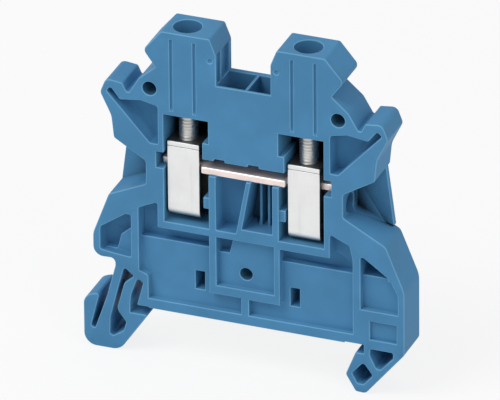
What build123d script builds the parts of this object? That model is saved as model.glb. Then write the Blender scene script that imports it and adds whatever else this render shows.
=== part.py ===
from build123d import *
import os

# Feed-through terminal block for a 35 mm mounting rail: one moulded housing, a current bar,
# and a clamping cage with its screw at each end of the bar.
# X runs along the block and across the rail, Y runs along the rail, and Z is up. The origin is on
# the rail's centre line, level with the top of its flanges, in the middle of the block's width.
# While a piece is built, its depths are measured from the open side of the moulding, towards the
# closed side. All sizes are in millimetres.

# The moulding as a whole
module_width = 6.2
closed_wall = 0.9
open_wall = 0.5
top_height = 44.6
middle_x = -0.2

# The rail and the feet that grip it
rail_width = 35.0
flange_thickness = 1.0
rail_clearance = 0.25
edge_relief = 0.15
seat_reach = 2.85
foot_depth = 7.6
latch_reach = 7.15

# Screws, M3 with a coarse thread and a slotted cylinder head
left_screw_x = -9.6
right_screw_x = 8.6
thread_diameter = 2.75
head_diameter = 3.9
head_height = 2.0
slot_width = 0.8
slot_depth = 1.0
head_seat_z = 33.9
head_play = 0.3

# Driver tunnels in the two towers, each a little wider round the screw's head
tunnel_diameter = 4.14
screw_hole_diameter = 3.4
groove_spacing = 3.5
groove_width = 0.4
groove_depth = 0.3
groove_run_out = 0.7

# Current bar
bar_bottom_z = 22.9
bar_thickness = 1.1
bar_seat = 0.8
bar_end_width = 2.5
bar_middle_front_y = 0.35
bar_gap = 0.35

# Clamping cages, each bent from one strip
cage_width = 4.8
cage_height = 12.1
cage_clearance = 0.1
strip_thickness = 0.7
bend_radius = 1.6
cage_seam = 0.06
thread_clearance = 0.05
left_cage_z = 15.05
right_cage_z = 14.55

# Compartments that the cages slide in
compartment_left_x = (-12.35, -5.6)
compartment_right_x = (5.0, 11.8)
compartment_floor_z = 14.45
compartment_top_z = 31.5
cage_rise_z = 33.0
bar_slot_top_z = 25.4

# Bridging channel between the towers
channel_half = 4.1
channel_depth = 7.2
partition_thickness = 0.45

# Wire entries
wire_hole_diameter = 3.0
wire_hole_z = 21.0
funnel_floor_z = 19.9
funnel_top_z = 23.6
funnel_end = 14.9
arm_root_z = 26.5

# Pockets in the open side
field_depth = 1.1
pocket_depth = 2.5
deep_pocket = 4.6
pin_hole_diameter = 2.1
pin_hole_depth = 3.6
dimple_diameter = 0.7
dimple_depth = 0.2

bar_top_z = bar_bottom_z + bar_thickness
head_top_z = head_seat_z + head_height
channel_floor_z = top_height - channel_depth
closed_wall_y = module_width - closed_wall
screw_y = (open_wall + closed_wall_y) / 2
cage_depth = closed_wall_y - open_wall - 2 * cage_clearance
bar_end_x = (compartment_left_x[0] - bar_seat, compartment_right_x[1] + bar_seat)
hook_z = -flange_thickness - rail_clearance
flange_pocket_x = rail_width / 2 + rail_clearance


def slab(corners, front, back):
    """Solid between two depths. Each corner of its outline is (x, z, radius)."""
    points = [(x, z) for x, z, radius in corners]
    radii = [radius for x, z, radius in corners]
    outline = FilletPolyline(*points, radius=radii, close=True)
    return extrude(Plane.XZ.offset(-back) * make_face(outline), back - front)


def block(x_range, z_range, front, back):
    """Rectangular solid between two depths."""
    low_x, high_x = x_range
    low_z, high_z = z_range
    size = Box(high_x - low_x, back - front, high_z - low_z)
    return Pos((low_x + high_x) / 2, (front + back) / 2, (low_z + high_z) / 2) * size


def upright(x, y, diameter, low_z, high_z):
    """Upright cylinder between two heights."""
    return Pos(x, y, (low_z + high_z) / 2) * Cylinder(diameter / 2, high_z - low_z)


def across(x, z, diameter, front, back):
    """Cylinder along the rail, between two depths."""
    turned = Rot(X=90) * Cylinder(diameter / 2, back - front)
    return Pos(x, (front + back) / 2, z) * turned


def on_side(side, corners):
    """Corners measured from the middle, for the right side (1) or mirrored for the left (-1)."""
    return [(middle_x + side * reach, z, radius) for reach, z, radius in corners]


def past_flange(side, corners):
    """Corners measured outwards from the room for the rail's flange, right (1) or left (-1)."""
    return [(side * (flange_pocket_x + reach), z, radius) for reach, z, radius in corners]


def shoulder(side):
    """Outline from the channel over one tower and its marker groove to the wire entry."""
    arm_tip_z = top_height - 11.2
    return on_side(side, [
        (channel_half, channel_floor_z, 0.0),
        (channel_half, top_height - 2.4, 1.5),
        (channel_half + 0.95, top_height, 0.4),
        (12.3, top_height, 0.5),
        (15.1, top_height - 3.3, 0.9),
        (13.25, top_height - 5.8, 0.2),
        (15.8, top_height - 8.0, 1.5),
        (17.5, top_height - 10.9, 0.35),
        (18.3, top_height - 9.2, 0.35),
        (20.8, top_height - 8.9, 1.0),
        (21.7, arm_tip_z, 0.9),
        (20.05, (arm_tip_z + arm_root_z) / 2, 3.0),
        (19.7, arm_root_z, 0.6),
        (funnel_end, funnel_top_z, 0.6),
    ])


def right_foot():
    """Outline from the right wire entry down to the fixed hook and the rail's right flange."""
    entry = (middle_x + funnel_end, funnel_floor_z, 0.5)
    return [entry] + past_flange(1, [
        (3.35, 16.4, 1.2),
        (6.15, 9.6, 4.0),
        (6.15, -0.4, 1.2),
        (0.25, -foot_depth, 0.9),
        (-1.25, -foot_depth + 0.1, 0.5),
        (-2.75, -5.0, 0.6),
        (-1.25, hook_z, 0.3),
        (0.0, hook_z, 0.0),
        (0.0, edge_relief, 0.0),
        (-seat_reach, edge_relief, 0.0),
        (-seat_reach, 0.0, 0.0),
    ])


def latch_foot():
    """Outline of the springy left foot, from the seat round the hook and the lever to the wing."""
    entry = (middle_x - funnel_end, funnel_floor_z, 0.5)
    return past_flange(-1, [
        (-seat_reach, 0.0, 0.0),
        (-seat_reach, edge_relief, 0.0),
        (-1.05, edge_relief, 0.0),
        (-2.05, 3.9, 0.45),
        (-1.15, 4.5, 0.45),
        (-0.15, 1.6, 2.0),
        (0.0, 0.2, 0.0),
        (0.0, hook_z, 0.0),
        (-2.65, hook_z, 0.2),
        (1.65, -foot_depth, 2.2),
        (latch_reach, -foot_depth, 1.9),
        (latch_reach, 0.2, 1.8),
        (4.65, 1.1, 0.4),
        (6.05, -4.5, 0.25),
        (5.45, -4.8, 0.25),
        (3.55, 0.8, 4.0),
        (2.2, 5.9, 0.6),
        (2.25, 7.1, 0.7),
        (5.55, 7.0, 1.5),
        (5.55, 10.6, 3.0),
        (3.05, 17.3, 0.7),
    ]) + [entry]


def outer_shape():
    """The moulding's full thickness before anything is cut from its open side."""
    left_shoulder = list(reversed(shoulder(-1)))
    return slab(shoulder(1) + right_foot() + latch_foot() + left_shoulder, 0, module_width)


def funnel_wall(side):
    """Part of the closed wall that runs on behind a wire entry."""
    corners = on_side(side, [
        (funnel_end - 0.5, funnel_top_z + 1, 0.0),
        (19.3, arm_root_z + 1, 0.0),
        (20.65, 17.1, 0.0),
        (funnel_end - 0.5, funnel_floor_z - 1, 0.0),
    ])
    return slab(corners, closed_wall_y, module_width)


def groove(x):
    """Groove down a tower's face that runs out on a slope at its lower end."""
    floor_z = head_seat_z - 1
    section = Plane.YZ * make_face(Polyline(
        (-1, floor_z - groove_run_out), (0, floor_z - groove_run_out), (groove_depth, floor_z),
        (groove_depth, top_height - 1.1), (-1, top_height - 1.1), close=True))
    return Pos(x, 0, 0) * extrude(section, groove_width / 2, both=True)


def tower_cuts(screw_x):
    """Driver tunnel, room for the screw's head, screw hole and two grooves down a tower's face."""
    cuts = upright(screw_x, screw_y, tunnel_diameter, head_seat_z, top_height + 1)
    cuts += upright(screw_x, screw_y, head_diameter + 2 * head_play, head_seat_z, head_top_z + head_play)
    cuts += upright(screw_x, screw_y, screw_hole_diameter, compartment_top_z, head_seat_z + 1)
    for edge in (-1, 1):
        cuts += groove(screw_x + 0.25 + edge * groove_spacing / 2)
    return cuts


def compartment_cuts(x_range, screw_x, side):
    """Room for a cage, the pocket above it that it rises into, and the wire's way in."""
    cuts = block(x_range, (compartment_floor_z, compartment_top_z), -1, closed_wall_y)
    half = cage_width / 2 + 0.3
    rise_x_range = (max(screw_x - half, x_range[0]), min(screw_x + half, x_range[1]))
    cuts += block(rise_x_range, (compartment_top_z, cage_rise_z), open_wall, closed_wall_y)
    entry_x = middle_x + side * (funnel_end + 1)
    wire_hole = Rot(Y=90) * Cylinder(wire_hole_diameter / 2, abs(entry_x - screw_x))
    cuts += Pos((entry_x + screw_x) / 2, (closed_wall_y + open_wall) / 2, wire_hole_z) * wire_hole
    return cuts


def cage_guides(wall_x, side):
    """Two ribs on a compartment's inner wall that keep the cage square to its screw."""
    reach = (wall_x, wall_x + side * 0.9)
    x_range = (min(reach), max(reach))
    low_z = compartment_floor_z + 3.0
    guides = block(x_range, (bar_slot_top_z, bar_slot_top_z + 2.6), 0, closed_wall_y)
    guides += block(x_range, (low_z, low_z + 1.8), 0.3, closed_wall_y)
    return guides


def bar_slot():
    """Slot across the middle that the current bar lies in, with its two end notches."""
    x_range = (bar_end_x[0] - bar_gap, bar_end_x[1] + bar_gap)
    slot = block(x_range, (bar_bottom_z, bar_slot_top_z), -1, screw_y + bar_end_width / 2 + 0.1)
    for notch_x in (-3.95, 1.2):
        slot += block((notch_x - 0.8, notch_x + 0.8), (bar_slot_top_z, bar_slot_top_z + 0.35), -1, 1)
    return slot


def bridge_shafts():
    """Two shafts from the channel's floor down to the bar, with a thin wall between them."""
    shafts = Part()
    for side in (-1, 1):
        near = middle_x + 0.3 + side * partition_thickness / 2
        far = middle_x + side * channel_half
        shafts += block((min(near, far), max(near, far)), (bar_slot_top_z - 0.5, channel_floor_z + 1),
                        open_wall, closed_wall_y)
    return shafts


def channel_steps():
    """Upright steps down both walls of the channel."""
    steps = Part()
    for side in (-1, 1):
        wall = middle_x + side * channel_half
        step_x = (min(wall, wall + side * 0.6), max(wall, wall + side * 0.6))
        for front, back in ((0.75, 2.0), (2.6, closed_wall_y)):
            steps += block(step_x, (channel_floor_z, top_height - 2.6), front, back)
    return steps


def marker_arm_recess(side):
    """Three-cornered recess under a marker arm, narrowing to a slot in the arm's tip."""
    corners = on_side(side, [
        (13.0, arm_root_z + 0.1, 0.2),
        (13.0, top_height - 12.0, 0.5),
        (15.6, top_height - 11.45, 1.5),
        (18.7, top_height - 11.9, 0.3),
        (20.1, top_height - 10.1, 0.3),
        (20.75, top_height - 10.8, 0.3),
        (14.2, arm_root_z + 0.1, 0.3),
    ])
    return slab(corners, -1, pocket_depth)


def shoulder_holes(side):
    """Pin hole beside the marker groove, and a shallow dimple by the channel."""
    pin_hole = across(middle_x + side * 14.2, top_height - 9.35, pin_hole_diameter, -1, pin_hole_depth)
    dimple_x = middle_x + side * (channel_half + 0.9)
    return pin_hole + across(dimple_x, top_height - 3.4, dimple_diameter, -1, dimple_depth)


def middle_pockets():
    """Pockets between the two compartments, under the bar."""
    left_x, right_x = -4.5, 4.0
    floor_z = compartment_floor_z
    left = slab([(left_x, floor_z, 0.2), (left_x, bar_bottom_z, 0), (0.1, bar_bottom_z, 0),
                 (-1.5, floor_z, 0.2)], -1, pocket_depth + 0.5)
    right = slab([(0.8, bar_bottom_z, 0), (right_x, bar_bottom_z, 0), (right_x, floor_z + 0.8, 0.1),
                  (-0.6, floor_z + 0.8, 0.1)], -1, deep_pocket)
    for rib_x in (1.2, 2.4):
        right -= block((rib_x, rib_x + 0.4), (floor_z, bar_bottom_z), pocket_depth, deep_pocket)
    return left + right


def lower_left_pockets():
    """Shallow field, step pocket and driver hole left of the middle field."""
    end_x = 1.45 - flange_pocket_x
    field = slab([(end_x, 11.2, 0), (-5.6, 11.2, 0), (-5.6, 4.2, 0), (-0.8, 4.2, 0.1),
                  (-0.8, 1.6, 0), (end_x + 1.4, 1.6, 0), (end_x + 1.4, 5.3, 0.6), (end_x, 5.9, 0)],
                 -1, field_depth)
    step = slab([(end_x, 11.0, 0), (end_x, 15.9, 0.3), (-13.4, 17.3, 0.3), (-13.4, 13.3, 0.2),
                 (-5.6, 13.3, 0.2), (-5.6, 11.0, 0)], -1, pocket_depth)
    hole = block((-8.1, -6.7), (3.9, 6.8), -1, deep_pocket)
    return field + step + hole


def lower_right_pockets():
    """Shallow field, step pocket and driver hole right of the middle field."""
    end_x = flange_pocket_x - 1.65
    field = slab([(5.1, 11.0, 0), (end_x, 11.0, 0), (end_x, 1.6, 0), (0.4, 1.6, 0),
                  (0.4, 4.1, 0.1), (5.1, 4.1, 0)], -1, field_depth)
    step = slab([(5.1, 10.8, 0), (5.1, 13.1, 0.2), (12.7, 13.1, 0.2), (12.7, 16.9, 0.3),
                 (end_x - 0.5, 15.6, 0.3), (end_x, 13.5, 0.3), (end_x, 10.8, 0)], -1, pocket_depth)
    hole = block((6.3, 7.7), (3.8, 6.7), -1, deep_pocket)
    return field + step + hole


def middle_field():
    """Shallow field under the middle compartment, with its small pocket and pin hole."""
    field = block((-4.5, 4.2), (5.6, 13.3), -1, field_depth)
    pocket = slab([(-4.5, 10.6, 0.1), (-4.5, 12.8, 0.1), (-2.4, 12.8, 0.1), (-2.9, 10.6, 0.1)],
                  -1, pocket_depth)
    pin_hole = across(-0.4, 7.6, pin_hole_diameter - 0.2, -1, pin_hole_depth)
    return field + pocket + pin_hole


def wing_pockets():
    """Pockets in the left wing and in the right side above the fixed foot."""
    left_field = slab(past_flange(-1, [
        (4.45, 8.2, 0.4), (4.45, 11.8, 0.6), (0.55, 14.5, 0.4), (-0.25, 14.5, 0.3),
        (-0.25, 7.7, 0.3), (1.85, 7.9, 0.4)]), -1, field_depth)
    left_deep = slab(past_flange(-1, [
        (4.45, 8.2, 0.3), (4.45, 11.8, 0.6), (0.55, 14.5, 0.4), (-0.25, 14.5, 0.3),
        (-0.25, 12.2, 0.3), (1.65, 10.6, 0.5), (2.25, 8.2, 0.3)]), -1, pocket_depth)
    right_field = slab(past_flange(1, [
        (-0.45, 5.8, 0), (-0.45, 10.9, 0), (4.1, 10.9, 0.2), (5.15, 8.9, 2.0), (5.15, 5.8, 0)]),
        -1, field_depth)
    right_deep = slab(past_flange(1, [
        (-0.45, 10.9, 0), (-0.45, 14.2, 0.3), (0.15, 14.0, 0.2), (3.65, 11.5, 0.2),
        (3.65, 10.9, 0.1)]), -1, deep_pocket)
    small_field = slab(past_flange(1, [
        (0.95, 1.2, 0), (0.95, 4.1, 0), (4.95, 4.1, 0), (4.95, 1.2, 0)]), -1, field_depth / 2)
    return left_field + left_deep + right_field + right_deep + small_field


def fixed_foot_pockets():
    """Two deep pockets that core out the fixed foot."""
    upper = slab(past_flange(1, [
        (0.95, -0.35, 0.2), (4.4, -0.35, 0.3), (4.4, -1.3, 0.3), (2.55, -3.4, 0.3),
        (1.85, -3.3, 0.3), (0.95, -1.4, 0.3)]), -1, deep_pocket)
    lower = slab(past_flange(1, [
        (-0.05, -2.7, 0.4), (1.35, -4.6, 0.4), (-0.05, -6.2, 0.3), (-0.95, -6.2, 0.3),
        (-1.8, -4.7, 0.4)]), -1, deep_pocket)
    return upper + lower


def latch_slot():
    """Long curved slot that sets the latch foot's spring arm free."""
    corners = past_flange(-1, [
        (0.85, 5.9, 0.3),
        (-0.65, 4.7, 0.3),
        (0.85, 3.4, 1.2),
        (2.05, -1.1, 1.2),
        (0.65, -2.9, 0.6),
        (1.05, -4.4, 0.6),
        (3.15, -5.8, 0.4),
        (3.05, -2.6, 4.0),
        (1.75, 2.6, 6.0),
    ])
    return slab(corners, -1, module_width + 1)


def make_housing():
    """The moulding: outer shape, closed wall, and all that is open on its open side."""
    housing = outer_shape() + funnel_wall(-1) + funnel_wall(1)
    for screw_x, x_range, side in ((left_screw_x, compartment_left_x, -1),
                                   (right_screw_x, compartment_right_x, 1)):
        housing -= compartment_cuts(x_range, screw_x, side)
        housing += cage_guides(x_range[1] if side < 0 else x_range[0], side)
        housing -= tower_cuts(screw_x)
        housing -= marker_arm_recess(side)
        housing -= shoulder_holes(side)
    housing -= bar_slot() + bridge_shafts()
    housing -= channel_steps()
    housing -= middle_pockets()
    housing -= middle_field()
    housing -= lower_left_pockets()
    housing -= lower_right_pockets()
    housing -= wing_pockets()
    housing -= fixed_foot_pockets()
    housing -= latch_slot()
    return housing


def make_bar():
    """Flat copper bar, narrow where it passes through the cages and wide between them."""
    back = screw_y + bar_end_width / 2
    z_range = (bar_bottom_z, bar_top_z)
    ends = block(bar_end_x, z_range, back - bar_end_width, back)
    wide_x = (left_screw_x + cage_width / 2 + bar_gap, right_screw_x - cage_width / 2 - bar_gap)
    return ends + block(wide_x, z_range, bar_middle_front_y, back)


def make_cage(screw_x, low_z):
    """Strip bent into a loop, doubled over at the top, where the screw's thread runs."""
    front = screw_y - cage_depth / 2
    back = screw_y + cage_depth / 2
    high_z = low_z + cage_height
    top_layer_z = high_z - strip_thickness
    inner_top_z = top_layer_z - cage_seam - strip_thickness
    inner_radius = bend_radius - strip_thickness
    section = Plane.YZ * make_face(FilletPolyline(
        (front, low_z), (back, low_z), (back, high_z), (front, high_z),
        radius=[bend_radius, bend_radius, strip_thickness, 0.1], close=True))
    inside = Plane.YZ * make_face(FilletPolyline(
        (front + strip_thickness, low_z + strip_thickness),
        (back - strip_thickness, low_z + strip_thickness),
        (back - strip_thickness, inner_top_z), (front + strip_thickness, inner_top_z),
        radius=[inner_radius, inner_radius, 0.1, 0.1], close=True))
    seam_y = back - strip_thickness
    seam = Plane.YZ * make_face(Polyline(
        (front - 1, top_layer_z), (seam_y, top_layer_z), (seam_y, inner_top_z - 0.2),
        (seam_y - cage_seam, inner_top_z - 0.2), (seam_y - cage_seam, top_layer_z - cage_seam),
        (front - 1, top_layer_z - cage_seam), close=True))
    loop = extrude(section - inside - seam, cage_width / 2, both=True)
    hole_diameter = thread_diameter + 2 * thread_clearance
    hole = upright(screw_x, screw_y, hole_diameter, low_z + bend_radius, high_z + 1)
    return Pos(screw_x, 0, 0) * loop - hole


def make_screw(screw_x):
    """Slotted screw that stands on the bar, with its head on the tower's inner shoulder."""
    screw = upright(screw_x, screw_y, thread_diameter, bar_top_z, head_seat_z)
    screw = chamfer(screw.edges().sort_by(Axis.Z)[0], 0.3)
    screw += upright(screw_x, screw_y, head_diameter, head_seat_z, head_top_z)
    screw = chamfer(screw.edges().filter_by(GeomType.CIRCLE).sort_by(Axis.Z)[-1], 0.2)
    half = head_diameter / 2 + 0.5
    screw -= block((screw_x - half, screw_x + half), (head_top_z - slot_depth, head_top_z + 1),
                   screw_y - slot_width / 2, screw_y + slot_width / 2)
    return screw


def main():
    """Build each piece and write it to its own file."""
    os.makedirs("parts", exist_ok=True)
    pieces = {
        "housing": make_housing(),
        "current_bar": make_bar(),
        "clamp_left": make_cage(left_screw_x, left_cage_z),
        "clamp_right": make_cage(right_screw_x, right_cage_z),
        "screw_left": make_screw(left_screw_x),
        "screw_right": make_screw(right_screw_x),
    }
    for name, piece in pieces.items():
        export_step(Pos(0, -module_width / 2, 0) * piece, f"parts/{name}.step")
        print(name, round(piece.volume, 2), "cubic millimetres")


main()
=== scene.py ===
"""Dresses a rail-mounted terminal block: blue moulding, copper bar, plated clamps, screws."""

import math

import bmesh
import bpy
from mathutils import Matrix, Vector


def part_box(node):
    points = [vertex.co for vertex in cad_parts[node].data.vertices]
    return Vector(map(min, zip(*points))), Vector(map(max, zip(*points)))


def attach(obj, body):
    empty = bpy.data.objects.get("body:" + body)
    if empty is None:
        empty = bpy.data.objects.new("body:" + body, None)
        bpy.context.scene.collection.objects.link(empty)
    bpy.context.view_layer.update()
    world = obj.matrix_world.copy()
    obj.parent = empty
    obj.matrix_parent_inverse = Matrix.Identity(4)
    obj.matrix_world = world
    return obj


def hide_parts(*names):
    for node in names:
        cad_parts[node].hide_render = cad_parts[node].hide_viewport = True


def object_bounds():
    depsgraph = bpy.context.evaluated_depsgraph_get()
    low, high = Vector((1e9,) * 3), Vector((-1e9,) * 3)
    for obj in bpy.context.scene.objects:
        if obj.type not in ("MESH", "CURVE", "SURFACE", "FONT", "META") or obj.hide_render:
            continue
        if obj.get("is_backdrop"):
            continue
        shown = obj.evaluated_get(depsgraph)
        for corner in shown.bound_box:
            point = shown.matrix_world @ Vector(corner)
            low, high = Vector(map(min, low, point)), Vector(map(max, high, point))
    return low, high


bl_info = {
    "name": "Terminal Block",
    "version": (1, 0, 0),
    "blender": (4, 5, 0),
    "location": "3D View > Sidebar > Terminal Block",
    "description": "Models and finishes the pieces of a feed-through terminal block",
    "category": "Object",
}

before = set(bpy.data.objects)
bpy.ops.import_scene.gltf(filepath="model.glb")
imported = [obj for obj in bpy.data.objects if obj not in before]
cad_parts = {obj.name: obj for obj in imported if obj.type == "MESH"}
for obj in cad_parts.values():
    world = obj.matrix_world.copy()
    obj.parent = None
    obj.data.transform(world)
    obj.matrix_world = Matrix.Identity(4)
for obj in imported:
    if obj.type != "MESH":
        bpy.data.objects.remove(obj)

MM = 0.001
SIDES = ("left", "right")

# Points of a copied mesh that lie closer than this become one, in the moulding and elsewhere
MOULDING_MERGE = 0.02 * MM
MERGE = 0.002 * MM
# Triangles that differ by less than this angle lie on one flat face
FLAT_ANGLE = math.radians(0.2)
# How far round the pocket's corner points are drawn together
CORNER_REACH = 0.15 * MM
# Pin holes in the open side, where shade is painted: X, Z and radius of each, and their depth
PIN_HOLES = ((-14.4 * MM, 35.25 * MM, 1.05 * MM), (14.0 * MM, 35.25 * MM, 1.05 * MM),
             (-0.4 * MM, 7.6 * MM, 0.95 * MM))
PIN_HOLE_DEPTH = 3.6 * MM
# Shares of the pitch that each flank and each flat of the thread take, and steps in a turn
FLANK = 0.36
FLAT = 0.14
THREAD_STEPS = 40
# Points closer than this are one point where two turns of the thread meet
SEAM = 0.0005 * MM
# Places of the softboxes and their sizes, and the size of the floor
KEY_PLACE = (-0.30, -0.38, 0.72)
KEY_SIZE = 0.42
FILL_PLACE = (0.60, -0.35, 0.42)
FILL_SIZE = 0.5
FLOOR_SIZE = 6.0
# Share of pure white in the floor, as the camera and reflections see it
FLOOR_WHITE = 0.82


class MouldingSettings(bpy.types.PropertyGroup):
    """Sizes and colours of the blue moulding, with its painted highlight and painted shade."""
    colour: bpy.props.FloatVectorProperty(
        name="Polyamide", description="Colour of the moulded faces", subtype="COLOR",
        size=4, min=0.0, max=1.0, default=(0.077, 0.252, 0.458, 1.0))
    # Painted highlight: the paler blue on the rounded edges.
    edge_highlight_colour: bpy.props.FloatVectorProperty(
        name="Painted edge highlight", description="Paler colour along the rounded edges", subtype="COLOR",
        size=4, min=0.0, max=1.0, default=(0.150, 0.385, 0.610, 1.0))
    # Painted shade: the colour that enclosed faces take.
    cavity_shade_colour: bpy.props.FloatVectorProperty(
        name="Painted cavity shade", description="Colour deep inside the compartments", subtype="COLOR",
        size=4, min=0.0, max=1.0, default=(0.072, 0.238, 0.430, 1.0))
    # Painted shade: near black at the back of the compartments.
    depth_shade_colour: bpy.props.FloatVectorProperty(
        name="Depths", description="Colour at the back of the compartments", subtype="COLOR",
        size=4, min=0.0, max=1.0, default=(0.004, 0.006, 0.010, 1.0))
    # Painted shade: the darker blue inside the pin holes.
    pin_hole_shade_colour: bpy.props.FloatVectorProperty(
        name="Pin holes", description="Colour inside the narrow pin holes", subtype="COLOR",
        size=4, min=0.0, max=1.0, default=(0.036, 0.126, 0.224, 1.0))
    edge_round: bpy.props.FloatProperty(
        name="Edge rounding", description="Width of the rounding that the mould leaves on edges",
        subtype="DISTANCE", unit="LENGTH", default=0.13 * MM, min=0.0)
    pocket_corner_x: bpy.props.FloatProperty(
        name="Pocket corner X", description="Where the right deep pocket ends on its field's rim",
        subtype="DISTANCE", unit="LENGTH", default=21.4 * MM)
    pocket_corner_z: bpy.props.FloatProperty(
        name="Pocket corner Z", description="Height of that field's upper rim",
        subtype="DISTANCE", unit="LENGTH", default=10.9 * MM)
    # Reach of the occlusion that paints shade in cavities.
    cavity_reach: bpy.props.FloatProperty(
        name="Cavity reach", description="How far apart walls still darken each other",
        subtype="DISTANCE", unit="LENGTH", default=12.0 * MM, min=0.0)
    # The depths and shafts settings place the painted near-black shade at the back of the
    # compartments.
    deep_from: bpy.props.FloatProperty(
        name="Depths from", description="Where the compartments begin to lose their light",
        subtype="DISTANCE", unit="LENGTH", default=0.6 * MM)
    deep_to: bpy.props.FloatProperty(
        name="Depths to", description="Where the compartments have lost their light",
        subtype="DISTANCE", unit="LENGTH", default=2.1 * MM)
    deep_height: bpy.props.FloatProperty(
        name="Depths height", description="Height of the middle of the compartments",
        subtype="DISTANCE", unit="LENGTH", default=23.8 * MM)
    deep_half: bpy.props.FloatProperty(
        name="Depths half",
        description="How far the compartments reach above and below their middle",
        subtype="DISTANCE", unit="LENGTH", default=9.7 * MM)
    shaft_half: bpy.props.FloatProperty(
        name="Shafts half",
        description="How far the open shafts reach to either side of the middle",
        subtype="DISTANCE", unit="LENGTH", default=5.0 * MM)
    shaft_foot: bpy.props.FloatProperty(
        name="Shafts foot",
        description="Height of the shafts' foot, above which they keep their blue",
        subtype="DISTANCE", unit="LENGTH", default=25.5 * MM)
    grain_size: bpy.props.FloatProperty(
        name="Grain", description="Size of the fine grain that the mould prints",
        subtype="DISTANCE", unit="LENGTH", default=0.09 * MM, min=0.001 * MM)
    mottle_size: bpy.props.FloatProperty(
        name="Mottling", description="Size of the soft clouds left by the flowing plastic",
        subtype="DISTANCE", unit="LENGTH", default=5.0 * MM, min=0.1 * MM)


class MetalSettings(bpy.types.PropertyGroup):
    """Colours and edge sizes of the bar and the clamps, with the bar's painted edge highlight."""
    copper_colour: bpy.props.FloatVectorProperty(
        name="Copper", description="Colour of the bar's rolled faces", subtype="COLOR",
        size=4, min=0.0, max=1.0, default=(0.97, 0.80, 0.75, 1.0))
    # Painted highlight: the paler colour on the bar's rounded edges.
    copper_highlight_colour: bpy.props.FloatVectorProperty(
        name="Painted copper highlight", description="Brighter colour along the bar's rounded edges",
        subtype="COLOR", size=4, min=0.0, max=1.0, default=(0.99, 0.93, 0.90, 1.0))
    plating_colour: bpy.props.FloatVectorProperty(
        name="Plating", description="Colour of the clamps' plating", subtype="COLOR",
        size=4, min=0.0, max=1.0, default=(0.84, 0.845, 0.84, 1.0))
    bar_edge: bpy.props.FloatProperty(
        name="Bar edge", description="Rounding of the bar's edges",
        subtype="DISTANCE", unit="LENGTH", default=0.24 * MM, min=0.0)
    strip_edge: bpy.props.FloatProperty(
        name="Strip edge", description="Rounding of the clamp strip's edges",
        subtype="DISTANCE", unit="LENGTH", default=0.06 * MM, min=0.0)


class ScrewSettings(bpy.types.PropertyGroup):
    """Sizes and colour of the slotted clamping screws."""
    colour: bpy.props.FloatVectorProperty(
        name="Steel", description="Colour of the passivated steel", subtype="COLOR",
        size=4, min=0.0, max=1.0, default=(0.76, 0.75, 0.73, 1.0))
    crest_radius: bpy.props.FloatProperty(
        name="Crest radius", description="Radius of the thread's crests",
        subtype="DISTANCE", unit="LENGTH", default=1.41 * MM, min=0.1 * MM)
    root_radius: bpy.props.FloatProperty(
        name="Root radius", description="Radius at the bottom of the thread",
        subtype="DISTANCE", unit="LENGTH", default=1.14 * MM, min=0.1 * MM)
    pitch: bpy.props.FloatProperty(
        name="Pitch", description="Rise of the thread in one turn",
        subtype="DISTANCE", unit="LENGTH", default=0.5 * MM, min=0.05 * MM)
    head_height: bpy.props.FloatProperty(
        name="Head height", description="Height of the cylinder head",
        subtype="DISTANCE", unit="LENGTH", default=2.0 * MM, min=0.1 * MM)
    slot_width: bpy.props.FloatProperty(
        name="Slot width", description="Width of the driver slot",
        subtype="DISTANCE", unit="LENGTH", default=0.8 * MM, min=0.1 * MM)
    slot_depth: bpy.props.FloatProperty(
        name="Slot depth", description="Depth of the driver slot",
        subtype="DISTANCE", unit="LENGTH", default=1.0 * MM, min=0.1 * MM)
    edge_round: bpy.props.FloatProperty(
        name="Edge rounding", description="Rounding of the head's turned edges",
        subtype="DISTANCE", unit="LENGTH", default=0.14 * MM, min=0.0)


class StageSettings(bpy.types.PropertyGroup):
    """Floor, light and camera."""
    floor_colour: bpy.props.FloatVectorProperty(
        name="Floor", description="Colour of the floor", subtype="COLOR",
        size=4, min=0.0, max=1.0, default=(0.9, 0.9, 0.9, 1.0))
    floor_gap: bpy.props.FloatProperty(
        name="Floor gap", description="How far the floor lies under the feet",
        subtype="DISTANCE", unit="LENGTH", default=0.02 * MM, min=0.0)
    azimuth: bpy.props.FloatProperty(
        name="Azimuth", description="How far right of the open side the camera stands",
        subtype="ANGLE", unit="ROTATION", default=math.radians(21.28))
    elevation: bpy.props.FloatProperty(
        name="Elevation", description="How far above the block the camera stands",
        subtype="ANGLE", unit="ROTATION", default=math.radians(27.93))
    roll: bpy.props.FloatProperty(
        name="Roll", description="Lean of the camera about its own line of sight",
        subtype="ANGLE", unit="ROTATION", default=math.radians(-0.49))
    distance: bpy.props.FloatProperty(
        name="Distance", description="From the camera to the middle of the block",
        subtype="DISTANCE", unit="LENGTH", default=1.669, min=0.1)
    lens: bpy.props.FloatProperty(
        name="Lens", description="Focal length on a sensor 36 mm wide, in millimetres",
        default=850.0, min=1.0)
    key_power: bpy.props.FloatProperty(
        name="Key light", description="Power of the softbox above on the left",
        subtype="POWER", unit="POWER", default=3.0, min=0.0)
    fill_power: bpy.props.FloatProperty(
        name="Fill light", description="Power of the softbox on the right",
        subtype="POWER", unit="POWER", default=0.9, min=0.0)
    ambient: bpy.props.FloatProperty(
        name="Ambient", description="Brightness of the room on diffuse surfaces",
        default=0.5, min=0.0)


# Modelling helpers

def only(piece):
    """Select one piece and nothing else, and make it active."""
    bpy.ops.object.select_all(action="DESELECT")
    piece.select_set(True)
    bpy.context.view_layer.objects.active = piece


def rename(piece, name):
    piece.name = name
    piece.data.name = name
    return piece


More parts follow.
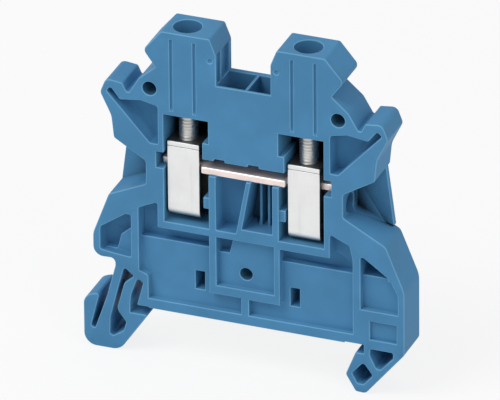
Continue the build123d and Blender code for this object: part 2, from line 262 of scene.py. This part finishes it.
def copy_node(node, name, merge=MERGE):
    """Copy of a frame node's mesh, merged into one shell with even triangles on flat faces."""
    piece = bpy.data.objects.new(name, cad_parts[node].data.copy())
    piece.data.name = name
    piece.data.materials.clear()
    bpy.context.scene.collection.objects.link(piece)
    only(piece)
    bpy.ops.object.mode_set(mode="EDIT")
    bpy.ops.mesh.select_all(action="SELECT")
    bpy.ops.mesh.remove_doubles(threshold=merge)
    bpy.ops.mesh.beautify_fill(angle_limit=FLAT_ANGLE)
    bpy.ops.object.mode_set(mode="OBJECT")
    return piece


def draw_together(piece, x, z, reach):
    """Merge the points round a line along Y, at each depth, into a corner that can be rounded."""
    work = bmesh.new()
    work.from_mesh(piece.data)
    levels = {}
    for point in work.verts:
        if math.hypot(point.co.x - x, point.co.z - z) < reach:
            levels.setdefault(round(point.co.y / MM, 2), []).append(point)
    for points in levels.values():
        bmesh.ops.pointmerge(work, verts=points, merge_co=(x, points[0].co.y, z))
    work.to_mesh(piece.data)
    work.free()


def apply_all(piece):
    only(piece)
    for modifier in list(piece.modifiers):
        bpy.ops.object.modifier_apply(modifier=modifier.name)


def weigh_outer_edges(piece, angle):
    """Give a bevel weight to the edges that stick out and are sharper than the angle."""
    work = bmesh.new()
    work.from_mesh(piece.data)
    weight = work.edges.layers.float.new("bevel_weight_edge")
    for edge in work.edges:
        if edge.is_manifold and edge.is_convex and edge.calc_face_angle() > angle:
            edge[weight] = 1.0
    work.to_mesh(piece.data)
    work.free()


def round_edges(piece, width, segments=2, angle=35.0, slot=-1):
    """Round the outer edges sharper than the angle. The rounding can have its own slot."""
    weigh_outer_edges(piece, math.radians(angle))
    bevel = piece.modifiers.new("Rounded edges", "BEVEL")
    bevel.width = width
    bevel.segments = segments
    bevel.limit_method = "WEIGHT"
    bevel.use_clamp_overlap = False
    bevel.loop_slide = False
    bevel.material = slot
    apply_all(piece)


def smooth(piece, angle=40.0):
    """Smooth shading that keeps large faces flat and real edges crisp."""
    only(piece)
    bpy.ops.object.shade_smooth_by_angle(angle=math.radians(angle))
    weighted = piece.modifiers.new("Flat faces", "WEIGHTED_NORMAL")
    weighted.keep_sharp = True
    weighted.weight = 80
    apply_all(piece)


def paint_hole_shade(piece, holes, depth, slot):
    """Give the faces inside round holes in the open side their own material slot, which paints
    shade there.
    """
    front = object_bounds()[0][1]
    for face in piece.data.polygons:
        x, y, z = face.center
        inside = any(math.hypot(x - hole_x, z - hole_z) <= radius
                     for hole_x, hole_z, radius in holes)
        if inside and front < y < front + 1.1 * depth:
            face.material_index = slot


def cut_away(piece, cutter):
    """Take a cutter's shape out of a piece, and remove the cutter."""
    cut = piece.modifiers.new("Cut", "BOOLEAN")
    cut.operation = "DIFFERENCE"
    cut.solver = "EXACT"
    cut.object = cutter
    apply_all(piece)
    bpy.data.objects.remove(cutter)


def apply_place(piece):
    """Put a piece's place into its mesh, so that its object sits at the origin."""
    only(piece)
    bpy.ops.object.transform_apply(location=True, rotation=True, scale=True)


# Material helpers

def add(tree, kind, place=(0, 0), **values):
    """Shader node with its settings and, by socket name, its values."""
    node = tree.nodes.new(kind)
    node.location = place
    for key, value in values.items():
        if key in node.inputs:
            node.inputs[key].default_value = value
        else:
            setattr(node, key, value)
    return node


def new_material(name):
    """Empty node material with a Principled BSDF, and its tree and shader."""
    material = bpy.data.materials.new(name)
    material.use_nodes = True
    tree = material.node_tree
    tree.nodes.clear()
    shader = add(tree, "ShaderNodeBsdfPrincipled", (600, 0))
    output = add(tree, "ShaderNodeOutputMaterial", (900, 0))
    tree.links.new(shader.outputs["BSDF"], output.inputs["Surface"])
    return material, tree, shader


def new_group(name, inputs, outputs):
    """Shader node group with named value, vector or colour sockets."""
    group = bpy.data.node_groups.new(name, "ShaderNodeTree")
    for label, kind, default in inputs:
        socket = group.interface.new_socket(name=label, in_out="INPUT", socket_type=kind)
        if default is not None:
            socket.default_value = default
    for label, kind in outputs:
        group.interface.new_socket(name=label, in_out="OUTPUT", socket_type=kind)
    return group, add(group, "NodeGroupInput", (-800, 0)), add(group, "NodeGroupOutput", (800, 0))


def read_between(node, low, high):
    """Set the values that a Map Range node reads as none and all."""
    node.inputs["From Min"].default_value = low
    node.inputs["From Max"].default_value = high


def give_between(node, low, high):
    """Set the values that a Map Range node gives for none and all."""
    node.inputs["To Min"].default_value = low
    node.inputs["To Max"].default_value = high


def place_group(tree, name, place=(0, 0), **values):
    node = add(tree, "ShaderNodeGroup", place)
    node.node_tree = bpy.data.node_groups[name]
    for label, value in values.items():
        node.inputs[label.replace("_", " ")].default_value = value
    return node


def object_coordinates(tree):
    return add(tree, "ShaderNodeTexCoord", (-1000, 0)).outputs["Object"]


def build_grain_group():
    """Fine printed grain and soft clouds, as on any moulded or plated face."""
    group, given, result = new_group(
        "Surface grain",
        [("Coordinates", "NodeSocketVector", None), ("Grain scale", "NodeSocketFloat", 9000.0),
         ("Cloud scale", "NodeSocketFloat", 200.0)],
        [("Grain", "NodeSocketFloat"), ("Clouds", "NodeSocketFloat")])
    fine = add(group, "ShaderNodeTexNoise", (-400, 150), Detail=3.0, Roughness=0.6)
    soft = add(group, "ShaderNodeTexNoise", (-400, -150), Detail=2.0, Roughness=0.45)
    spread = add(group, "ShaderNodeMapRange", (0, -150))
    read_between(spread, 0.32, 0.68)
    link = group.links.new
    link(given.outputs["Coordinates"], fine.inputs["Vector"])
    link(given.outputs["Coordinates"], soft.inputs["Vector"])
    link(given.outputs["Grain scale"], fine.inputs["Scale"])
    link(given.outputs["Cloud scale"], soft.inputs["Scale"])
    link(fine.outputs["Fac"], result.inputs["Grain"])
    link(soft.outputs["Fac"], spread.inputs["Value"])
    link(spread.outputs["Result"], result.inputs["Clouds"])


def build_line_group():
    """Fine straight lines left by rolling or turning, and a few deeper scratches among them."""
    group, given, result = new_group(
        "Drawn lines",
        [("Coordinates", "NodeSocketVector", None), ("Line scale", "NodeSocketFloat", 6000.0)],
        [("Lines", "NodeSocketFloat"), ("Scratches", "NodeSocketFloat")])
    lines = add(group, "ShaderNodeTexNoise", (-300, 150), Detail=4.0, Roughness=0.65)
    marks = add(group, "ShaderNodeTexNoise", (-300, -150), Detail=1.0, Roughness=0.5,
                Distortion=0.4)
    third = add(group, "ShaderNodeMath", (-550, -150), operation="MULTIPLY")
    third.inputs[1].default_value = 0.3
    deep = add(group, "ShaderNodeMapRange", (100, -150))
    read_between(deep, 0.60, 0.72)
    link = group.links.new
    link(given.outputs["Coordinates"], lines.inputs["Vector"])
    link(given.outputs["Coordinates"], marks.inputs["Vector"])
    link(given.outputs["Line scale"], lines.inputs["Scale"])
    link(given.outputs["Line scale"], third.inputs[0])
    link(third.outputs["Value"], marks.inputs["Scale"])
    link(lines.outputs["Fac"], result.inputs["Lines"])
    link(marks.outputs["Fac"], deep.inputs["Value"])
    link(deep.outputs["Result"], result.inputs["Scratches"])


def scaled(value, factor):
    return (value[0] * factor, value[1] * factor, value[2] * factor, 1.0)


def build_cavity_shade_group():
    """Masks for painted shade: how open a face is, and which faces lie far back in the clamps'
    compartments.
    """
    group, given, result = new_group(
        "Painted cavity shade",
        [("Coordinates", "NodeSocketVector", None), ("Openness", "NodeSocketFloat", 1.0),
         ("Deep from", "NodeSocketFloat", 0.0), ("Deep to", "NodeSocketFloat", 0.001),
         ("Deep height", "NodeSocketFloat", 0.02), ("Deep half", "NodeSocketFloat", 0.01),
         ("Shafts half", "NodeSocketFloat", 0.005), ("Shafts foot", "NodeSocketFloat", 0.025)],
        [("Open", "NodeSocketFloat"), ("Deep", "NodeSocketFloat")])
    opened = add(group, "ShaderNodeMapRange", (-200, 200))
    read_between(opened, 0.10, 0.50)
    parts = add(group, "ShaderNodeSeparateXYZ", (-500, -100))
    depth = add(group, "ShaderNodeMapRange", (-200, -100))
    closed = add(group, "ShaderNodeMapRange", (-200, -400))
    read_between(closed, 0.62, 0.40)
    level = add(group, "ShaderNodeMath", (-200, -650), operation="COMPARE")
    beside = add(group, "ShaderNodeMath", (-400, -800), operation="ABSOLUTE")
    outer = add(group, "ShaderNodeMath", (-200, -800), operation="GREATER_THAN")
    under = add(group, "ShaderNodeMath", (-200, -950), operation="LESS_THAN")
    kept = add(group, "ShaderNodeMath", (0, -850), operation="MAXIMUM")
    held = add(group, "ShaderNodeMath", (100, -700), operation="MULTIPLY")
    inside = add(group, "ShaderNodeMath", (50, -500), operation="MULTIPLY")
    both = add(group, "ShaderNodeMath", (200, -200), operation="MULTIPLY")
    link = group.links.new
    link(given.outputs["Openness"], opened.inputs["Value"])
    link(given.outputs["Openness"], closed.inputs["Value"])
    link(given.outputs["Coordinates"], parts.inputs["Vector"])
    link(parts.outputs["Y"], depth.inputs["Value"])
    link(given.outputs["Deep from"], depth.inputs["From Min"])
    link(given.outputs["Deep to"], depth.inputs["From Max"])
    link(parts.outputs["Z"], level.inputs[0])
    link(given.outputs["Deep height"], level.inputs[1])
    link(given.outputs["Deep half"], level.inputs[2])
    link(parts.outputs["X"], beside.inputs[0])
    link(beside.outputs["Value"], outer.inputs[0])
    link(given.outputs["Shafts half"], outer.inputs[1])
    link(parts.outputs["Z"], under.inputs[0])
    link(given.outputs["Shafts foot"], under.inputs[1])
    link(outer.outputs["Value"], kept.inputs[0])
    link(under.outputs["Value"], kept.inputs[1])
    link(level.outputs["Value"], held.inputs[0])
    link(kept.outputs["Value"], held.inputs[1])
    link(closed.outputs["Result"], inside.inputs[0])
    link(held.outputs["Value"], inside.inputs[1])
    link(depth.outputs["Result"], both.inputs[0])
    link(inside.outputs["Value"], both.inputs[1])
    link(opened.outputs["Result"], result.inputs["Open"])
    link(both.outputs["Value"], result.inputs["Deep"])


def moulded_blue(name, colour, cavity_shade, settings):
    """Satin polyamide with mould grain and soft clouds, with painted shade in cavities and painted
    near-black shade in the depths.
    """
    material, tree, shader = new_material(name)
    link = tree.links.new
    coordinates = object_coordinates(tree)
    grain = place_group(tree, "Surface grain", (-700, 0), Grain_scale=1 / settings.grain_size,
                        Cloud_scale=1 / settings.mottle_size)
    clouds = add(tree, "ShaderNodeMix", (-350, 250), data_type="RGBA")
    clouds.inputs["A"].default_value = scaled(colour, 0.93)
    clouds.inputs["B"].default_value = scaled(colour, 1.06)
    open_sky = add(tree, "ShaderNodeAmbientOcclusion", (-950, 500), samples=8)
    open_sky.inputs["Distance"].default_value = settings.cavity_reach
    cavities = place_group(tree, "Painted cavity shade", (-700, 500), Deep_from=settings.deep_from,
                           Deep_to=settings.deep_to, Deep_height=settings.deep_height,
                           Deep_half=settings.deep_half, Shafts_half=settings.shaft_half,
                           Shafts_foot=settings.shaft_foot)
    # Painted shade: faces with little open sky take the cavity shade colour.
    shaded = add(tree, "ShaderNodeMix", (-50, 250), data_type="RGBA")
    shaded.inputs["A"].default_value = cavity_shade
    # Painted shade, near black, at the back of the compartments.
    deep = add(tree, "ShaderNodeMix", (200, 250), data_type="RGBA")
    deep.inputs["B"].default_value = settings.depth_shade_colour
    rough = add(tree, "ShaderNodeMapRange", (50, 0))
    give_between(rough, 0.48, 0.60)
    bump = add(tree, "ShaderNodeBump", (300, -250), Strength=0.22, Distance=0.02 * MM)
    link(coordinates, grain.inputs["Coordinates"])
    link(coordinates, cavities.inputs["Coordinates"])
    link(open_sky.outputs["AO"], cavities.inputs["Openness"])
    link(grain.outputs["Clouds"], clouds.inputs["Factor"])
    link(cavities.outputs["Open"], shaded.inputs["Factor"])
    link(clouds.outputs["Result"], shaded.inputs["B"])
    link(cavities.outputs["Deep"], deep.inputs["Factor"])
    link(shaded.outputs["Result"], deep.inputs["A"])
    link(deep.outputs["Result"], shader.inputs["Base Color"])
    link(grain.outputs["Clouds"], rough.inputs["Value"])
    link(rough.outputs["Result"], shader.inputs["Roughness"])
    link(grain.outputs["Grain"], bump.inputs["Height"])
    link(bump.outputs["Normal"], shader.inputs["Normal"])
    shader.inputs["Specular IOR Level"].default_value = 0.10
    return material


def drawn_metal(name, colour, stretch, roughness, line_scale, dulling, enclosed_shade=1.0,
                metallic=1.0):
    """Metal with lines along one direction, duller patches, scratches and painted shade on hidden
    faces.
    """
    material, tree, shader = new_material(name)
    link = tree.links.new
    coordinates = object_coordinates(tree)
    along = add(tree, "ShaderNodeMapping", (-850, 150))
    along.inputs["Scale"].default_value = stretch
    lines = place_group(tree, "Drawn lines", (-600, 150), Line_scale=line_scale)
    grain = place_group(tree, "Surface grain", (-600, -150), Grain_scale=7000.0, Cloud_scale=420.0)
    tone = add(tree, "ShaderNodeMix", (-250, 250), data_type="RGBA")
    tone.inputs["A"].default_value = scaled(colour, dulling)
    tone.inputs["B"].default_value = colour
    marked = add(tree, "ShaderNodeMix", (50, 250), data_type="RGBA")
    marked.inputs["B"].default_value = scaled(colour, 0.62)
    marks = add(tree, "ShaderNodeMath", (-250, 0), operation="MULTIPLY")
    marks.inputs[1].default_value = 0.16
    rough = add(tree, "ShaderNodeMapRange", (50, 0))
    read_between(rough, 0.3, 0.7)
    give_between(rough, roughness * 0.8, roughness * 1.25)
    bump = add(tree, "ShaderNodeBump", (300, -250), Strength=0.25, Distance=0.006 * MM)
    # Painted shade: hidden faces take a darker copy of the colour.
    around = add(tree, "ShaderNodeAmbientOcclusion", (-250, 500), samples=8)
    around.inputs["Distance"].default_value = 8.0 * MM
    free = add(tree, "ShaderNodeMapRange", (50, 500))
    read_between(free, 0.35, 0.75)
    shaded = add(tree, "ShaderNodeMix", (300, 250), data_type="RGBA")
    shaded.inputs["A"].default_value = scaled(colour, enclosed_shade)
    link(coordinates, along.inputs["Vector"])
    link(around.outputs["AO"], free.inputs["Value"])
    link(free.outputs["Result"], shaded.inputs["Factor"])
    link(marked.outputs["Result"], shaded.inputs["B"])
    link(along.outputs["Vector"], lines.inputs["Coordinates"])
    link(coordinates, grain.inputs["Coordinates"])
    link(grain.outputs["Clouds"], tone.inputs["Factor"])
    link(tone.outputs["Result"], marked.inputs["A"])
    link(lines.outputs["Scratches"], marks.inputs[0])
    link(marks.outputs["Value"], marked.inputs["Factor"])
    link(shaded.outputs["Result"], shader.inputs["Base Color"])
    link(lines.outputs["Lines"], rough.inputs["Value"])
    link(rough.outputs["Result"], shader.inputs["Roughness"])
    link(lines.outputs["Lines"], bump.inputs["Height"])
    link(bump.outputs["Normal"], shader.inputs["Normal"])
    shader.inputs["Metallic"].default_value = metallic
    return material


def pale_floor(colour):
    """Matte floor that looks nearly white to the camera and keeps a soft shadow."""
    material, tree, shader = new_material("pale_floor")
    shader.inputs["Base Color"].default_value = colour
    shader.inputs["Roughness"].default_value = 0.9
    shader.inputs["Specular IOR Level"].default_value = 0.1
    output = tree.nodes["Material Output"]
    glow = add(tree, "ShaderNodeEmission", (600, -300), Strength=1.0)
    glow.inputs["Color"].default_value = (1.0, 1.0, 1.0, 1.0)
    path = add(tree, "ShaderNodeLightPath", (200, 300))
    seen = add(tree, "ShaderNodeMath", (400, 300), operation="MAXIMUM")
    share = add(tree, "ShaderNodeMath", (600, 300), operation="MULTIPLY")
    share.inputs[1].default_value = FLOOR_WHITE
    mixed = add(tree, "ShaderNodeMixShader", (800, 200))
    link = tree.links.new
    link(path.outputs["Is Camera Ray"], seen.inputs[0])
    link(path.outputs["Is Glossy Ray"], seen.inputs[1])
    link(seen.outputs["Value"], share.inputs[0])
    link(share.outputs["Value"], mixed.inputs["Fac"])
    link(shader.outputs["BSDF"], mixed.inputs[1])
    link(glow.outputs["Emission"], mixed.inputs[2])
    link(mixed.outputs["Shader"], output.inputs["Surface"])
    return material


# Pieces

class BLOCK_OT_housing(bpy.types.Operator):
    """Round and colour the blue moulding, with painted highlight on its rounded edges and painted
    shade in its cavities, depths and pin holes.
    """
    bl_idname = "block.housing"
    bl_label = "Moulding"

    def execute(self, context):
        settings = context.scene.block_moulding
        housing = copy_node("housing", "moulding", MOULDING_MERGE)
        draw_together(housing, settings.pocket_corner_x, settings.pocket_corner_z, CORNER_REACH)
        hole_shade_colour = settings.pin_hole_shade_colour
        for name, colour, cavity_shade in (
                ("blue_polyamide", settings.colour, settings.cavity_shade_colour),
                ("painted_highlight_blue_edge", settings.edge_highlight_colour, settings.cavity_shade_colour),
                ("shaded_blue_hole", hole_shade_colour, hole_shade_colour)):
            housing.data.materials.append(moulded_blue(name, colour, cavity_shade, settings))
        # Slot 1, the rounded edges, takes the painted highlight; slot 2, inside the pin holes,
        # takes painted shade.
        round_edges(housing, settings.edge_round, slot=1)
        paint_hole_shade(housing, PIN_HOLES, PIN_HOLE_DEPTH, 2)
        smooth(housing)
        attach(housing, "block")
        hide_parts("housing")
        return {"FINISHED"}


class BLOCK_OT_bar(bpy.types.Operator):
    """Round and finish the copper bar, with a painted highlight on its rounded edges."""
    bl_idname = "block.bar"
    bl_label = "Current bar"

    def execute(self, context):
        settings = context.scene.block_metal
        bar = copy_node("current_bar", "copper_bar")
        # The second material paints a highlight on the rounded edges.
        for name, colour in (("rolled_copper", settings.copper_colour),
                             ("painted_highlight_copper_edge", settings.copper_highlight_colour)):
            bar.data.materials.append(drawn_metal(
                name, colour, (0.06, 1.0, 1.0), 0.34, 5000.0, 0.90, metallic=0.5))
        round_edges(bar, settings.bar_edge, segments=3, slot=1)
        smooth(bar)
        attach(bar, "block")
        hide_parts("current_bar")
        return {"FINISHED"}


class BLOCK_OT_clamps(bpy.types.Operator):
    """Round and finish the two bent clamp strips, with painted shade on their hidden faces."""
    bl_idname = "block.clamps"
    bl_label = "Clamps"

    def execute(self, context):
        settings = context.scene.block_metal
        # The plating paints shade on hidden faces.
        plating = drawn_metal("bright_plating", settings.plating_colour, (1.0, 1.0, 0.05),
                              0.48, 4500.0, 0.95, enclosed_shade=0.18)
        for side in SIDES:
            clamp = copy_node("clamp_" + side, side + "_clamp_strip")
            clamp.data.materials.append(plating)
            round_edges(clamp, settings.strip_edge)
            smooth(clamp)
            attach(clamp, side + "_clamp")
            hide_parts("clamp_" + side)
        return {"FINISHED"}


def thread_profile(settings, low_z):
    """One pitch of the thread's outline, drawn upwards by extruding a single corner."""
    bpy.ops.mesh.primitive_plane_add(size=settings.pitch, location=(0, 0, 0))
    profile = bpy.context.object
    bpy.ops.object.mode_set(mode="EDIT")
    bpy.ops.mesh.select_all(action="SELECT")
    bpy.ops.mesh.merge(type="CENTER")
    bpy.ops.transform.translate(value=(settings.root_radius, 0, low_z))
    height = settings.crest_radius - settings.root_radius
    pitch = settings.pitch
    for step in ((height, 0, FLANK * pitch), (0, 0, FLAT * pitch),
                 (-height, 0, FLANK * pitch), (0, 0, FLAT * pitch)):
        bpy.ops.mesh.extrude_region_move(TRANSFORM_OT_translate={"value": step})
    bpy.ops.object.mode_set(mode="OBJECT")
    return profile


def make_thread(settings, low_z, high_z):
    """Helical thread between two heights, with flat closed ends."""
    thread = thread_profile(settings, low_z - settings.pitch)
    turn = thread.modifiers.new("Thread", "SCREW")
    turn.axis = "Z"
    turn.screw_offset = settings.pitch
    turn.iterations = math.ceil((high_z - low_z) / settings.pitch) + 3
    turn.steps = THREAD_STEPS
    turn.render_steps = THREAD_STEPS
    apply_all(thread)
    bpy.ops.object.mode_set(mode="EDIT")
    bpy.ops.mesh.select_all(action="SELECT")
    bpy.ops.mesh.remove_doubles(threshold=SEAM)
    for height, direction in ((low_z, 1), (high_z, -1)):
        bpy.ops.mesh.select_all(action="SELECT")
        bpy.ops.mesh.bisect(plane_co=(0, 0, height), plane_no=(0, 0, direction), use_fill=True,
                            clear_inner=True, threshold=SEAM)
    bpy.ops.mesh.select_all(action="SELECT")
    bpy.ops.mesh.normals_make_consistent(inside=False)
    bpy.ops.object.mode_set(mode="OBJECT")
    return thread


def make_head(settings, radius, top_z):
    """Cylinder head with its driver slot."""
    middle_z = top_z - settings.head_height / 2
    bpy.ops.mesh.primitive_cylinder_add(vertices=72, radius=radius,
                                        depth=settings.head_height, location=(0, 0, middle_z))
    head = bpy.context.object
    apply_place(head)
    slot = (4 * radius, settings.slot_width, 2 * settings.slot_depth)
    bpy.ops.mesh.primitive_cube_add(size=1, location=(0, 0, top_z), scale=slot)
    cutter = bpy.context.object
    apply_place(cutter)
    cut_away(head, cutter)
    round_edges(head, settings.edge_round, segments=3, angle=40.0)
    return head


def make_tip(settings, low_z):
    """Plain chamfered point under the thread."""
    height = settings.pitch * 1.2
    bpy.ops.mesh.primitive_cylinder_add(vertices=48, radius=settings.root_radius - 0.01 * MM,
                                        depth=height, location=(0, 0, low_z + height / 2))
    tip = bpy.context.object
    apply_place(tip)
    round_edges(tip, 0.2 * MM, segments=1, angle=40.0)
    return tip


class BLOCK_OT_screws(bpy.types.Operator):
    """Model the slotted clamping screws with their threads."""
    bl_idname = "block.screws"
    bl_label = "Screws"

    def execute(self, context):
        settings = context.scene.block_screw
        low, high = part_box("screw_left")
        radius = (high.x - low.x) / 2
        bpy.ops.object.select_all(action="DESELECT")
        thread = make_thread(settings, low.z + settings.pitch, high.z - settings.head_height)
        head = make_head(settings, radius, high.z)
        tip = make_tip(settings, low.z)
        only(thread)
        head.select_set(True)
        tip.select_set(True)
        bpy.ops.object.join()
        thread.data.materials.append(drawn_metal(
            "passivated_steel", settings.colour, (1.0, 1.0, 6.0), 0.38, 1800.0, 0.85))
        for side in SIDES:
            low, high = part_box("screw_" + side)
            screw = thread.copy()
            screw.data = thread.data.copy()
            context.scene.collection.objects.link(screw)
            rename(screw, side + "_clamping_screw")
            axis = ((low.x + high.x) / 2, (low.y + high.y) / 2, 0)
            screw.data.transform(Matrix.Translation(axis))
            smooth(screw, 32.0)
            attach(screw, side + "_screw")
            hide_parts("screw_" + side)
        bpy.data.objects.remove(thread)
        return {"FINISHED"}


# Stage

def aim(piece, target, roll=0.0):
    """Turn a lamp or the camera towards a point."""
    towards = (target - piece.location).to_track_quat("-Z", "Y")
    lean = Matrix.Rotation(roll, 4, "Z").to_quaternion()
    piece.rotation_euler = (towards @ lean).to_euler()


def softbox(name, place, target, size, power):
    """Square area lamp aimed at a point."""
    bpy.ops.object.light_add(type="AREA", location=place)
    lamp = rename(bpy.context.object, name)
    lamp.data.shape = "SQUARE"
    lamp.data.size = size
    lamp.data.energy = power
    aim(lamp, target)


def light_room(ambient):
    """Room that looks white to the camera and to reflections, and lights the block less."""
    world = bpy.data.worlds.new("white_room")
    bpy.context.scene.world = world
    world.use_nodes = True
    tree = world.node_tree
    tree.nodes.clear()
    path = add(tree, "ShaderNodeLightPath", (-800, 0))
    glossy = add(tree, "ShaderNodeMath", (-600, 100), operation="MAXIMUM")
    seen = add(tree, "ShaderNodeMath", (-400, 0), operation="MAXIMUM")
    strength = add(tree, "ShaderNodeMapRange", (-200, 0))
    give_between(strength, ambient, 1.0)
    background = add(tree, "ShaderNodeBackground", (50, 0))
    background.inputs["Color"].default_value = (1.0, 1.0, 1.0, 1.0)
    output = add(tree, "ShaderNodeOutputWorld", (250, 0))
    link = tree.links.new
    link(path.outputs["Is Glossy Ray"], glossy.inputs[0])
    link(path.outputs["Is Transmission Ray"], glossy.inputs[1])
    link(path.outputs["Is Camera Ray"], seen.inputs[0])
    link(glossy.outputs["Value"], seen.inputs[1])
    link(seen.outputs["Value"], strength.inputs["Value"])
    link(strength.outputs["Result"], background.inputs["Strength"])
    link(background.outputs["Background"], output.inputs["Surface"])


class BLOCK_OT_stage(bpy.types.Operator):
    """Lay the floor, hang the lamps and set the camera."""
    bl_idname = "block.stage"
    bl_label = "Stage"

    def execute(self, context):
        settings = context.scene.block_stage
        low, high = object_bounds()
        low, high = Vector(low), Vector(high)
        middle = (low + high) / 2
        bpy.ops.object.select_all(action="DESELECT")
        under_feet = (0, 0, low.z - settings.floor_gap)
        bpy.ops.mesh.primitive_plane_add(size=FLOOR_SIZE, location=under_feet)
        floor = rename(context.object, "floor")
        apply_place(floor)
        floor.data.materials.append(pale_floor(settings.floor_colour))
        floor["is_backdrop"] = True
        light_room(settings.ambient)
        softbox("key_softbox", KEY_PLACE, middle, KEY_SIZE, settings.key_power)
        softbox("fill_softbox", FILL_PLACE, middle, FILL_SIZE, settings.fill_power)
        flat = math.cos(settings.elevation) * settings.distance
        bpy.ops.object.camera_add(location=middle + Vector((
            flat * math.sin(settings.azimuth), -flat * math.cos(settings.azimuth),
            settings.distance * math.sin(settings.elevation))))
        camera = rename(context.object, "product_camera")
        aim(camera, middle, settings.roll)
        camera.data.lens = settings.lens
        camera.data.sensor_width = 36.0
        camera.data.clip_start = 0.1
        camera.data.clip_end = 20.0
        context.scene.camera = camera
        context.scene.view_settings.view_transform = "Standard"
        return {"FINISHED"}


class BLOCK_PT_panel(bpy.types.Panel):
    """Lists the steps that make the terminal block."""
    bl_idname = "BLOCK_PT_panel"
    bl_label = "Terminal Block"
    bl_space_type = "VIEW_3D"
    bl_region_type = "UI"
    bl_category = "Terminal Block"

    def draw(self, context):
        for operator in OPERATORS:
            self.layout.operator(operator.bl_idname)


GROUPS = {"block_moulding": MouldingSettings, "block_metal": MetalSettings,
          "block_screw": ScrewSettings, "block_stage": StageSettings}
OPERATORS = (BLOCK_OT_housing, BLOCK_OT_bar, BLOCK_OT_clamps, BLOCK_OT_screws, BLOCK_OT_stage)


def register():
    for group in GROUPS.values():
        bpy.utils.register_class(group)
    for operator in OPERATORS:
        bpy.utils.register_class(operator)
    bpy.utils.register_class(BLOCK_PT_panel)
    for name, group in GROUPS.items():
        setattr(bpy.types.Scene, name, bpy.props.PointerProperty(type=group))


def unregister():
    for name in GROUPS:
        delattr(bpy.types.Scene, name)
    bpy.utils.unregister_class(BLOCK_PT_panel)
    for operator in reversed(OPERATORS):
        bpy.utils.unregister_class(operator)
    for group in reversed(list(GROUPS.values())):
        bpy.utils.unregister_class(group)


def main():
    """Make the pieces and the stage."""
    register()
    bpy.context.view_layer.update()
    build_grain_group()
    build_cavity_shade_group()
    build_line_group()
    bpy.ops.block.stage()
    bpy.ops.block.housing()
    bpy.ops.block.bar()
    bpy.ops.block.clamps()
    bpy.ops.block.screws()


if __name__ == "__main__":
    main()
